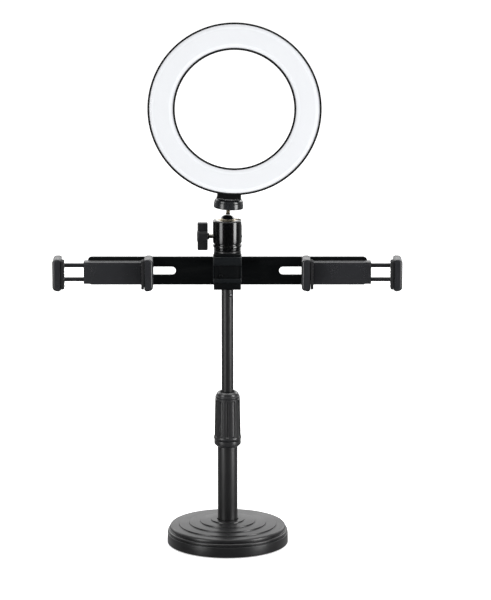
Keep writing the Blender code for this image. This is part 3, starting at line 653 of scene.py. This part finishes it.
def make_grip():
    """The twist grip: a domed mouth, a fluted body and a lip, hollow over the thread sleeve."""
    low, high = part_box("twist_grip")
    lip = high.x
    skirt, shoulder, mouth = 0.01245, 0.0118, 0.0070
    rows = 44
    body_high, body_low = high.z - 0.0074, low.z + 0.0030
    flute_low, flute_high = body_low, high.z - 0.0077
    outside = [
        (mouth, high.z - 0.0012, 0.0006),
        (mouth + 0.0006, high.z - 0.0003, 0.0006),
        (0.0083, high.z, 0.0012),
        (0.0101, high.z - 0.0014, 0.0016),
        (0.0108, high.z - 0.0034, 0.0006),
        (0.0116, high.z - 0.0045, 0.0006),
        (0.0115, high.z - 0.0060, 0.0004),
        (0.0111, high.z - 0.0065, 0.0002),
        (shoulder, high.z - 0.0069, 0.0004),
    ]
    outline = rounded([*outside, (skirt - 0.0002, flute_low, 0)], closed=False)[:-1]
    for row in range(rows + 1):
        share = row / rows
        height = body_high + (body_low - body_high) * share
        outline.append((shoulder + (skirt - shoulder) * share, height))
    thread_room = 0.0109
    inside = [
        (skirt, body_low - 0.0002, 0),
        (lip - 0.0002, low.z + 0.0029, 0.0004),
        (lip, low.z + 0.0014, 0.0008),
        (lip - 0.0004, low.z, 0.0005),
        (thread_room, low.z, 0.0003),
        (thread_room, 0.1115, 0.0010),
        (0.0092, 0.1150, 0.0010),
        (0.0080, 0.1320, 0.0010),
        (mouth, 0.1370, 0.0006),
        (mouth, high.z - 0.0012, 0),
    ]
    outline += rounded(inside, closed=False)[:-1]
    flutes, half_width, deep = 12, 0.00165, 0.0011

    def flute(turn, radius, height):
        """A rounded groove with round ends, on the outside only."""
        end = min(height - flute_low, flute_high - height)
        if radius < shoulder - 0.0004 or end < 0.00001:
            return 0.0
        pitch = 2 * math.pi / flutes
        offset = (turn + math.pi / 2 + pitch / 2) % pitch - pitch / 2
        room = half_width
        if end < half_width:
            room = math.sqrt(half_width**2 - (half_width - end) ** 2)
        across = abs(offset) * radius / room
        return deep * (1 - across**4) ** 0.5 if across < 1 else 0.0

    grip = lathe("ribbed_grip", outline, 480, dent=flute, angle=28)
    carry(grip, GRIP_BLACK, "twist_grip")


def make_upper_tube():
    """The inner tube and the rivet near its top."""
    outline = sleeve_outline("inner_tube", 0.0010)
    tube = lathe("upper_tube", outline, 96)
    centre = sum(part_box("tube_rivet"), Vector()) / 2
    outwards = Vector((centre.x, centre.y, 0)).normalized()
    foot = Vector((0, 0, centre.z))
    hole = rod("rivet_hole", 0.0016, 0.002, 0.008, matrix=at(foot, outwards))
    carry(carve(tube, hole), TUBE_BLACK, "inner_tube")
    shank, end = 0.0013, 0.0036
    corners = [(0, 0.0061, 0), (shank, 0.0059, 0.0004), (shank, end, 0.0001), (0, end, 0)]
    rivet = lathe("rivet", rounded(corners, closed=False), 32, at(foot, outwards), closed=False)
    carry(rivet, STEEL_DARK, "tube_rivet")


# ------ bracket and crossbar


def make_bracket():
    """The block on the pole, the clip that wraps it and the screw in the clip's window."""
    low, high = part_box("bracket_block")
    clip_low, clip_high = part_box("bracket_clip")
    body = box("pole_block", low, high, 0.0008)
    waist, beyond = 0.0112, 0.03  # beyond lies outside the body on every side
    for side in (-1, 1):
        inner = (side * waist, -beyond, clip_low.z - GAP)
        outer = (side * beyond, beyond, clip_high.z + GAP)
        carve(body, box("waist", inner, outer, 0))
    pole_radius, pole_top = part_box("inner_tube")[1].x, 0.2620
    socket = rod("socket", pole_radius + GAP, low.z - 0.01, pole_top + GAP)
    screw_spot = at((-0.006, -0.0066, 0.2585), (0, -1, 0))
    screw_hole = rod("screw_hole", BOLT_HOLE, 0, 0.02, matrix=screw_spot)
    carve(body, socket, screw_hole)
    soften(body, 0.0003, 2)
    # The block takes the bar's darker black rather than the clip's: painted shade for the recess behind the clip's
    # window.
    carry(body, BAR_BLACK, "bracket_block")

    clip = box("wrap_clip", clip_low, clip_high, 0.0009)
    inner = (-waist - GAP, low.y - GAP, clip_low.z - beyond)
    outer = (waist + GAP, beyond, clip_high.z + beyond)
    hollow = box("hollow", inner, outer, 0)
    window = box("window", (-beyond, -beyond, 0.2560), (beyond, -0.0096, 0.2688), 0)
    carve(clip, hollow, window)
    soften(clip, 0.00035, 3)
    carry(clip, BRACKET_BLACK, "bracket_clip")
    screw = bolt("window_screw", "clip_screw", (0, -1, 0), head_height=0.0010)
    carry(screw, BAR_BLACK, "clip_screw")
    make_crossbar()


def make_crossbar():
    """The flat bar with its two slots, and the two screws that hold it to the block."""
    low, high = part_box("crossbar")
    bar = plate("slotted_bar", rectangle(low.x, low.z, high.x, high.z, 0.0040), low.y, high.y)
    middle = (low.z + high.z) / 2
    half = 0.0038
    inner, outer = 0.0480, 0.1240
    screw_x, screw_z = 0.0070, 0.2680
    for side in (-1, 1):
        ends = sorted((side * inner, side * outer))
        outline = rectangle(ends[0], middle - half, ends[1], middle + half, half * 0.999, 16)
        slot = plate("slot", outline, low.y - 0.01, high.y + 0.01)
        hole = rod("hole", 0.0023, 0, 0.03, matrix=at((side * screw_x, 0, screw_z), (0, 1, 0)))
        carve(bar, slot, hole)
    soften(bar, 0.00035, 3)
    carry(bar, BAR_BLACK, "crossbar")
    for name in ("left", "right"):
        screw = bolt("rear_screw_" + name, "bar_screw_" + name, (0, 1, 0), head_height=0.0024)
        carry(screw, NICKEL, "bar_screw_" + name)


# ------ ball head


def make_ball_head():
    """The flange and the housing, with a notch in its rim, a side pin and a lock knob."""
    low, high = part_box("head_flange")
    radius = high.x
    corners = [
        (STUD_HOLE, high.z, 0),
        (radius, high.z, 0.0003),
        (radius, low.z, 0.0004),
        (STUD_HOLE, low.z, 0),
    ]
    carry(lathe("panning_flange", rounded(corners), 128), POWDER, "head_flange")

    low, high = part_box("ball_housing")
    radius = high.y
    cavity, mouth, floor = 0.0093, 0.0083, 0.2905
    groove = radius - 0.0013
    corners = [
        (mouth, high.z, 0.0002),
        (0.0110, high.z, 0.0004),
        (0.0129, high.z - 0.0003, 0.0005),
        (radius, high.z - 0.0010, 0.0005),
        (radius, 0.2883, 0.0007),
        (groove, 0.2878, 0.0001),
        (groove, 0.2869, 0.0001),
        (radius - 0.0002, 0.2865, 0.0005),
        (radius - 0.0002, 0.2845, 0.0007),
        (radius - 0.0010, 0.2837, 0.0003),
        (0.0125, low.z, 0.0003),
        (STUD_HOLE, low.z, 0),
        (STUD_HOLE, floor, 0),
        (cavity, floor, 0.0005),
        (cavity, high.z - 0.0028, 0.0004),
        (mouth, high.z - 0.0006, 0),
    ]
    housing = lathe("head_housing", rounded(corners), 192)
    knob_z = joint("ball_lock_turn")["pos_m"][2]

    def low_lengthwise(edge):
        first, last = (end.co for end in edge.verts)
        return abs(first.x - last.x) > 0.005 and max(first.z, last.z) < high.z

    half, notch_foot = 0.0034, 0.3035
    notch_low, notch_high = (0.0070, -half, notch_foot), (0.0180, half, 0.3200)
    notch = box("notch", notch_low, notch_high, 0.0032, 8, chosen=low_lengthwise)
    screw_hole = rod("screw_hole", 0.0025, 0.008, 0.02, matrix=at((0, 0, knob_z), (-1, 0, 0)))
    pin_hole = rod("pin_hole", 0.0016, 0.008, 0.02, matrix=at((0, 0, knob_z), (1, 0, 0)))
    carve(housing, notch, screw_hole, pin_hole)
    carry(housing, GLOSS_BLACK, "ball_housing")
    rim_foot, rim_edge = high.z - 0.0010, 0.0112
    paint(housing, BARE_RIM, Matrix(), lambda away, up: up > rim_foot and away < rim_edge)
    pin = bolt("friction_pin", "side_pin", (1, 0, 0), head_height=0.0010)
    carry(pin, STEEL_DARK, "side_pin")
    make_lock_knob(knob_z)


def make_lock_knob(knob_z):
    """A winged knob, turned away from the housing, and its threaded screw."""
    spot = at((joint("ball_lock_turn")["pos_m"][0], 0, knob_z), (-1, 0, 0))
    low, high = reach("lock_knob", spot)
    face, span = high.z, high.x
    radius, collar, bore, bore_end = 0.0063, 0.0031, 0.0024, 0.0070
    hub = [
        (0, face, 0),
        (0.0050, face, 0.0010),
        (radius, face - 0.0014, 0.0010),
        (radius, 0.0015, 0.0005),
        (collar, 0.0012, 0.0003),
        (collar, 0.0, 0.0003),
        (bore, 0.0, 0),
        (bore, bore_end, 0),
        (0, bore_end, 0),
    ]
    knob = lathe("wing_knob", rounded(hub, closed=False), 96, spot, closed=False)
    half = 0.0034
    for side in (-1, 1):
        corner, far_corner = (side * 0.0030, -half, 0.0012), (side * span, half, face - 0.0004)
        weld(knob, box("wing", corner, far_corner, 0.0011, 4, matrix=spot))
    soften(knob, 0.00025, 2, angle=50)
    carry(knob, SLEEVE_BLACK, "lock_knob")
    low, high = reach("lock_screw", spot)
    outline = [(0, high.z)] + thread(high.x, high.z, low.z, 0.0008, 0.00022) + [(0, low.z)]
    screw = lathe("lock_stud", outline, 48, spot, closed=False, angle=60)
    carry(screw, STUD_NICKEL, "lock_screw")


def make_moving_head():
    """What the ball carries: its stem, the platform, the camera stud and the lock ring."""
    low, high = reach("ball", HEAD)
    radius = high.y
    neck, steps = 0.0026, 48
    first = math.asin(neck / radius)
    arc = []
    for step in range(steps + 1):
        turn = first + (math.pi - first) * step / steps
        arc.append((radius * math.sin(turn), radius * math.cos(turn)))
    arc[-1] = (0, -radius)
    ball = lathe("swivel_ball", [(0, arc[0][1])] + arc, 96, HEAD, closed=False, angle=60)
    carry(ball, BALL_NICKEL, "ball")
    # The ball's top is painted gloss black: a painted reflection of the dark platform above it.
    dark_reflection_foot = radius * math.cos(math.radians(52))
    paint(ball, GLOSS_BLACK, HEAD, lambda _away, up: up > dark_reflection_foot)

    low, high = reach("ball_stem", HEAD)
    radius, flare_top = 0.00175, 0.0102
    corners = [
        (0, high.z, 0),
        (radius, high.z, 0),
        (radius, flare_top, 0.0010),
        (high.y, low.z + 0.0003, 0.0002),
        (high.y, low.z, 0.0001),
        (0, low.z, 0),
    ]
    stem = lathe("swivel_stem", rounded(corners, closed=False, segments=8), 64, HEAD, closed=False)
    # The stem's very dark nickel is painted shade for the dark surroundings it reflects.
    carry(stem, STEM_NICKEL_PAINTED_DARK, "ball_stem")

    bore, bore_top = radius + GAP, 0.0203
    low, high = reach("platform", HEAD)
    radius = high.y
    groove = radius - 0.0008
    corners = [
        (STUD_HOLE, high.z, 0),
        (0.0114, high.z, 0.0002),
        (radius - 0.0009, high.z - 0.0011, 0.0003),
        (radius - 0.0004, high.z - 0.0026, 0.0002),
        (groove, high.z - 0.0028, 0.0001),
        (groove, high.z - 0.0031, 0.0001),
        (radius - 0.0003, high.z - 0.0033, 0.0002),
        (radius, low.z + 0.0006, 0.0004),
        (radius - 0.0005, low.z, 0.0003),
        (bore, low.z, 0),
        (bore, bore_top, 0),
        (STUD_HOLE, bore_top, 0),
    ]
    disc = lathe("platform_disc", rounded(corners), 160, HEAD)
    carry(disc, PLATFORM_BLACK, "platform")

    low, high = reach("mount_stud", HEAD)
    outline = [(0, high.z), (high.y - 0.0006, high.z)]
    outline += thread(high.y, high.z - 0.0005, low.z, 0.00127, 0.0004) + [(0, low.z)]
    stud = lathe("camera_stud", outline, 48, HEAD, closed=False, angle=60)
    carry(stud, NICKEL, "mount_stud")

    low, high = reach("lock_ring", HEAD)
    radius = high.x
    teeth, deep, bore = 38, 0.0005, 0.0035

    def knurl(turn, distance, _height):
        if distance < radius - 0.0006:
            return 0.0
        return deep * (0.5 - 0.5 * math.cos(teeth * turn)) ** 0.5

    corners = [
        (bore, high.z, 0),
        (radius - 0.0009, high.z, 0.0002),
        (radius, high.z - 0.0004, 0.0001),
        (radius, low.z + 0.0002, 0.0001),
        (radius - 0.0004, low.z, 0.0001),
        (bore, low.z, 0),
    ]
    ring = lathe("knurled_ring", rounded(corners), teeth * 12, HEAD, dent=knurl, angle=40)
    carry(ring, SLEEVE_BLACK, "lock_ring")
    # The tooth tips get the light grey finish: a painted glint on the knurl.
    tip, foot = radius - 0.0003, low.z + 0.0003
    paint(ring, KNURL_GLINT_PAINT, HEAD, lambda away, up: away > tip and up > foot)


# ------ lamp


def half_ellipse(middle, across, deep, count):
    """The back of the ring's section, from its outer edge round to its inner edge."""
    turns = [math.pi * i / (count - 1) for i in range(count)]
    return [(middle + across * math.cos(turn), -deep * math.sin(turn)) for turn in turns]


def make_lamp():
    """The ring: a hollow shell with its holes, the diffuser, and what hangs on them."""
    low, high = reach("back_shell", RING)
    outer, depth = high.x - 0.0001, -low.z
    hole, rim, lip = 0.05457, 0.0016, 0.0003
    middle, across = (outer + hole) / 2, (outer - hole) / 2
    outside = half_ellipse(middle, across, depth, 49)
    outside[0], outside[-1] = (outer, -lip), (hole, -lip)
    inside = half_ellipse(middle, across - rim, depth - 0.0018, 33)
    inside[0], inside[-1] = (outer - rim, -lip), (hole + rim, -lip)
    outline = [(outer - lip, 0)] + outside + [(hole + lip, 0), (hole + rim - lip, 0)]
    outline += inside[::-1] + [(outer - rim + lip, 0)]
    shell = lathe("lamp_shell", outline, 288, RING)

    def tube_cut(name, radius, spot):
        return rod(name, radius, -0.0060, 0.0250, matrix=spot)

    gland_low, gland_high = reach("cable_gland", HEAD)
    gland = (gland_low + gland_high) / 2
    back = RING_NODE_HIGH.y
    gland_spot = HEAD @ at((gland.x, back, gland.z), (0, 1, 0))
    holes = [tube_cut("gland_hole", 0.0026, gland_spot)]
    screw_spots = []
    for side in ("left", "right"):
        screw_low, screw_high = reach("foot_screw_" + side, HEAD)
        screw = (screw_low + screw_high) / 2
        screw_spots.append(HEAD @ at((screw.x, back, screw.z), (0, 1, 0)))
        holes.append(tube_cut("foot_hole", BOLT_HOLE, screw_spots[-1]))
    carve(shell, *holes)
    carry(shell, RING_BLACK, "back_shell")

    low, high = reach("diffuser", RING)
    far = high.x
    near = hole + rim + lip
    shoulder, drop, count = 0.0050, 0.0010, 17
    outline = []
    for i in range(count):
        share = i / (count - 1)
        outline.append((near + shoulder * share, high.z - drop * (1 - share) ** 2))
    outline += [(near + far - radius, height) for radius, height in reversed(outline)]
    outline += [(far - lip, low.z), (near + lip, low.z)]
    diffuser = lathe("diffuser_ring", outline, 288, RING)
    carry(diffuser, DIFFUSER, "diffuser")
    # A band along both rims takes the brighter glow: a painted highlight.
    highlight_band = shoulder * 0.75
    paint(diffuser, DIFFUSER_EDGE_HIGHLIGHT, RING, lambda away, _up: min(away - near, far - away) < highlight_band)
    make_board()
    make_foot(middle, across, depth, screw_spots)
    make_gland(gland_spot, gland_high.y - back)


def make_board():
    """The LED board: a ring with two staggered rows of chips."""
    low, high = reach("led_board", RING)
    inner, face = 0.0607, high.z - 0.0001
    corners = [
        (inner, face, 0.0002),
        (high.x, face, 0.0002),
        (high.x, low.z, 0.0002),
        (inner, low.z, 0.0002),
    ]
    board = lathe("lamp_board", rounded(corners), 192, RING)
    carry(board, BOARD, "led_board")
    chip_height, half_long, half_wide = 0.0006, 0.0014, 0.0009
    shape = bmesh.new()
    for row, radius in enumerate((0.0642, 0.0700)):
        count = 60
        for number in range(count):
            turn = 2 * math.pi * (number + row / 2) / count
            spot = RING @ Matrix.Rotation(turn, 4, "Z")
            spot = spot @ Matrix.Translation((radius, 0, high.z + chip_height / 2))
            size = Matrix.Diagonal((2 * half_wide, 2 * half_long, chip_height, 1))
            bmesh.ops.create_cube(shape, size=1.0, matrix=spot @ size)
    edges = list(shape.edges)
    bmesh.ops.bevel(shape, geom=edges, offset=0.0001, segments=1, profile=0.5, affect="EDGES")
    chips = made_from("led_chips", shape)
    chips.data.materials.append(PHOSPHOR)
    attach(chips, NODE_BODY["led_board"])


def make_foot(middle, across, depth, screw_spots):
    """The block under the ring, hollowed to fit the shell, and its two screws."""
    low, high = reach("mount_foot", HEAD)

    def upright(edge):
        return abs(edge.verts[0].co.z - edge.verts[1].co.z) > 0.005

    foot = box("lamp_foot", low, high, 0.0013, 5, chosen=upright)
    foot.data.transform(HEAD)
    room = half_ellipse(middle, across + GAP, depth + GAP, 49)
    clear = 0.02
    room = [(room[0][0], clear)] + room + [(room[-1][0], clear)]
    cutters = [lathe("ring_room", room, 240, RING)]
    cutters.append(rod("insert_room", 0.0047, 0.02, 0.0324, matrix=HEAD))
    for spot in screw_spots:
        cutters.append(rod("screw_room", BOLT_HOLE, -0.0050, 0.0300, matrix=spot))
    carve(foot, *cutters)
    soften(foot, 0.0004, 3)
    carry(foot, RING_BLACK, "mount_foot")
    for side in ("left", "right"):
        node = "foot_screw_" + side
        screw = bolt("lamp_screw_" + side, node, (0, 1, 0), matrix=HEAD, head_height=0.0016)
        carry(screw, STEEL_DARK, node)


def make_gland(spot, length):
    """A tapered strain relief with ribs, and its flange."""
    bore, tip, neck, flange, inner_end = 0.0015, 0.0025, 0.0023, 0.0042, -0.0030
    corners = [(bore, length, 0.0002), (tip, length, 0.0003)]
    ribs = 4
    for number in range(ribs):
        share = number / ribs
        height = length - 0.0009 - (length - 0.0030) * share
        radius = tip + 0.0010 * (share + 0.15)
        corners += [
            (radius, height, 0.0001),
            (radius - 0.0005, height - 0.0003, 0.0001),
            (radius - 0.0005, height - 0.0007, 0.0001),
            (radius + 0.0001, height - 0.0010, 0.0001),
        ]
    corners += [
        (0.0036, 0.0016, 0.0004),
        (flange, 0.0012, 0.0003),
        (flange, GAP, 0.0001),
        (neck, GAP, 0),
        (neck, inner_end, 0.0002),
        (bore, inner_end, 0),
    ]
    carry(lathe("strain_relief", rounded(corners), 64, spot), RUBBER, "cable_gland")


# ------ phone clamps


def make_clamp(name, side):
    """One phone clamp: side is -1 on the left and 1 on the right."""
    centre = Vector(joint(f"clamp_{name}_turn")["pos_m"])
    centre.y = 0
    spot = Matrix.Translation(centre)
    jaw_low, jaw_high = reach("moving_jaw_" + name, spot)
    edge = max(abs(jaw_low.x), abs(jaw_high.x))
    shell = 0.0081
    half_height = jaw_high.z
    front, back = jaw_low.y, jaw_high.y

    def jaw(title, direction):
        """A jaw's outer shell: its outer corners are rounder than its inner ones."""
        outer, inner = direction * edge, direction * (edge - shell + 0.0009)
        corners = [
            (inner, -half_height, 0.0011),
            (outer, -half_height, 0.0050),
            (outer, half_height, 0.0050),
            (inner, half_height, 0.0011),
        ]
        made = plate(title, rounded(corners, segments=10), front, back)
        shape = bmesh.new()
        shape.from_mesh(made.data)
        wall = edge - shell / 2
        rim = []
        for item in shape.edges:
            if all(abs(end.co.x) > wall and end.co.y < front + 0.0001 for end in item.verts):
                rim.append(item)
        bmesh.ops.bevel(shape, geom=rim, offset=0.0027, segments=6, profile=0.5, affect="EDGES")
        bmesh.ops.transform(shape, matrix=spot, verts=shape.verts)
        shape.to_mesh(made.data)
        shape.free()
        soften(made, 0.0008, 3, angle=50)
        low_corner = (direction * (edge - shell), front + 0.0012, 0.0006 - half_height)
        high_corner = (direction * (edge - 0.0050), back - 0.0002, half_height - 0.0006)
        return weld(made, box("jaw_lining", low_corner, high_corner, 0.0003, matrix=spot))

    fixed = jaw("clamp_housing_" + name, -side)
    face = -0.0050

    def front_lengthwise(item):
        first, last = (end.co for end in item.verts)
        return abs(first.x - last.x) > 0.01 and first.y < 0

    corner, far_corner = (-side * 0.0400, face, -0.0103), (side * 0.0180, 0.0032, 0.0103)
    sleeve = box("sleeve", corner, far_corner, 0.0007, matrix=spot, chosen=front_lengthwise)
    corner, far_corner = (-side * 0.0350, face - GAP, -0.0090), (side * 0.0175, face + GAP, 0.0090)
    weld(fixed, sleeve, box("rest", corner, far_corner, 0.0002, matrix=spot))
    corner, far_corner = (-side * 0.0384, -0.0023, -0.0088), (side * 0.0300, 0.0100, 0.0088)
    room = box("room", corner, far_corner, 0, matrix=spot)
    corner, far_corner = (-side * 0.0045, -0.01, -0.0045), (side * 0.0400, 0.02, 0.0045)
    carve(room, box("island", corner, far_corner, 0, matrix=spot))
    around = spot @ aimed((0, 1, 0))
    carve(fixed, room, rod("nut_room", 0.0037, -0.0018, 0.02, edge=0, matrix=around))
    carry(fixed, JAW_BLACK, "clamp_body_" + name)

    low, high = reach("clamp_cover_" + name, spot)
    cover = box("clamp_back_" + name, low, high, 0.0006, matrix=spot)
    carve(cover, rod("hole", 0.0029, -0.01, 0.02, matrix=around))
    carry(cover, SLEEVE_BLACK, "clamp_cover_" + name)

    moving = jaw("sliding_jaw_" + name, side)
    corner, far_corner = (-side * 0.0220, -0.0019, -0.0084), (side * 0.0410, 0.0019, 0.0084)
    slide = box("slide", corner, far_corner, 0.0005, matrix=spot)
    corner, far_corner = (-side * 0.0190, -0.01, -0.0049), (side * (edge - shell), 0.01, 0.0049)
    carve(slide, box("slide_hole", corner, far_corner, 0, matrix=spot))
    weld(moving, slide)
    carry(moving, JAW_BLACK, "moving_jaw_" + name)

    make_pad("fixed_pad_" + name, "grip_pad_fixed_" + name, -side, spot)
    make_pad("moving_pad_" + name, "grip_pad_moving_" + name, side, spot)
    make_spring(name, spot)
    make_clamp_knob(name, spot)


def make_pad(node, title, direction, spot):
    """A rubber pad on a carrier, with teeth towards the phone."""
    low, high = reach(node, spot)
    near = min(abs(low.x), abs(high.x))
    far = max(abs(low.x), abs(high.x))
    teeth = 8
    pitch = (high.z - low.z) / teeth
    corners = [(far, high.z, 0.0004), (far, low.z, 0.0004)]
    for tooth in range(teeth):
        start = low.z + tooth * pitch
        valley = near + 0.0007
        corners += [
            (valley, start + pitch * 0.08, 0.0001),
            (near, start + pitch * 0.26, 0.0003),
            (near, start + pitch * 0.74, 0.0003),
            (valley, start + pitch * 0.92, 0.0001),
        ]
    outline = [(direction * x, z) for x, z in rounded(corners, segments=3)]
    pad = plate(title, outline, low.y, high.y, spot)
    soften(pad, 0.0003, 2, angle=60)
    carry(pad, RUBBER, node)


def make_spring(name, spot):
    """A coil over the CAD spring, from the fixed body to the jaw."""
    node = "clamp_spring_" + name
    low, high = reach(node, spot)
    wire, turns, per_turn = 0.0003, 6, 24
    radius = high.z - wire
    curve = bpy.data.curves.new("coil", "CURVE")
    curve.dimensions = "3D"
    curve.bevel_depth = wire
    curve.bevel_resolution = 2
    curve.use_fill_caps = True
    spline = curve.splines.new("POLY")
    count = turns * per_turn + 1
    spline.points.add(count - 1)
    for i, point in enumerate(spline.points):
        turn = 2 * math.pi * i / per_turn
        x = low.x + wire + (high.x - low.x - 2 * wire) * i / (count - 1)
        place = spot @ Vector((x, radius * math.cos(turn), radius * math.sin(turn)))
        point.co = (*place, 1.0)
    drawn = add("coil", curve)
    graph = bpy.context.evaluated_depsgraph_get()
    mesh = bpy.data.meshes.new_from_object(drawn.evaluated_get(graph))
    bpy.data.objects.remove(drawn, do_unlink=True)
    shape = bmesh.new()
    shape.from_mesh(mesh)
    bmesh.ops.remove_doubles(shape, verts=shape.verts, dist=0.0000005)
    shape.to_mesh(mesh)
    shape.free()
    spring = show("coil_spring_" + name, mesh, 60)
    mesh.materials.append(NICKEL)
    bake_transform(spring)
    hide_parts(node)


def make_clamp_knob(name, spot):
    """The washer, the lobed knob behind the crossbar and its screw."""
    around = spot @ aimed((0, 1, 0))
    low, high = reach("slot_washer_" + name, spot)
    seat, hole = high.y - 0.0012, 0.0027
    corners = [
        (hole, high.y, 0.0001),
        (high.z, high.y, 0.0003),
        (high.z, seat, 0.0003),
        (hole, seat, 0),
    ]
    washer = lathe("keyed_washer_" + name, rounded(corners), 96, around)
    half = 0.0035
    lug = box("lug", (-half, low.y, -half), (half, seat + 0.0006, half), 0.0004, matrix=spot)
    weld(washer, lug)
    carve(washer, rod("hole", hole, -0.02, 0.03, matrix=around))
    carry(washer, NICKEL, "slot_washer_" + name)

    node = "clamp_knob_" + name
    low, high = reach(node, spot)
    radius, lobes, per_lobe = high.x, 8, 16
    outline = []
    for i in range(lobes * per_lobe):
        turn = 2 * math.pi * i / (lobes * per_lobe)
        wave = (0.5 - 0.5 * math.cos(lobes * turn)) ** 1.6
        distance = radius - 0.0013 * wave
        outline.append((distance * math.cos(turn), distance * math.sin(turn)))
    knob = plate("lobed_knob_" + name, outline, low.y, high.y, spot)
    clear, floor = high.y + 0.002, high.y - 0.0009
    dish = [
        (0.0044, clear, 0),
        (0.0066, clear, 0),
        (0.0064, floor, 0.0004),
        (0.0046, floor, 0.0004),
    ]
    soften(knob, 0.0009, 4, angle=60)
    carve(knob, lathe("dish", rounded(dish), 96, around))
    carve(knob, rod("hole", 0.0028, -0.02, 0.04, matrix=around))
    carry(knob, SLEEVE_BLACK, node)
    screw = bolt("clamp_bolt_" + name, "clamp_screw_" + name, (0, 1, 0), spot, head_height=0.0020)
    carry(screw, NICKEL, "clamp_screw_" + name)


# ------ the rest


def finish_hidden_nodes():
    """The CAD nodes that stay get their slot's finish."""
    for node, item in frame["nodes"].items():
        if not item.hide_render:
            item.data.materials.clear()
            item.data.materials.append(SLOT_FINISH[NODE_SLOT[node]])


set_camera()
set_lights()
set_world()
set_floor()
make_base()
make_pole()
make_bracket()
make_ball_head()
make_moving_head()
make_lamp()
make_clamp("left", -1)
make_clamp("right", 1)
finish_hidden_nodes()
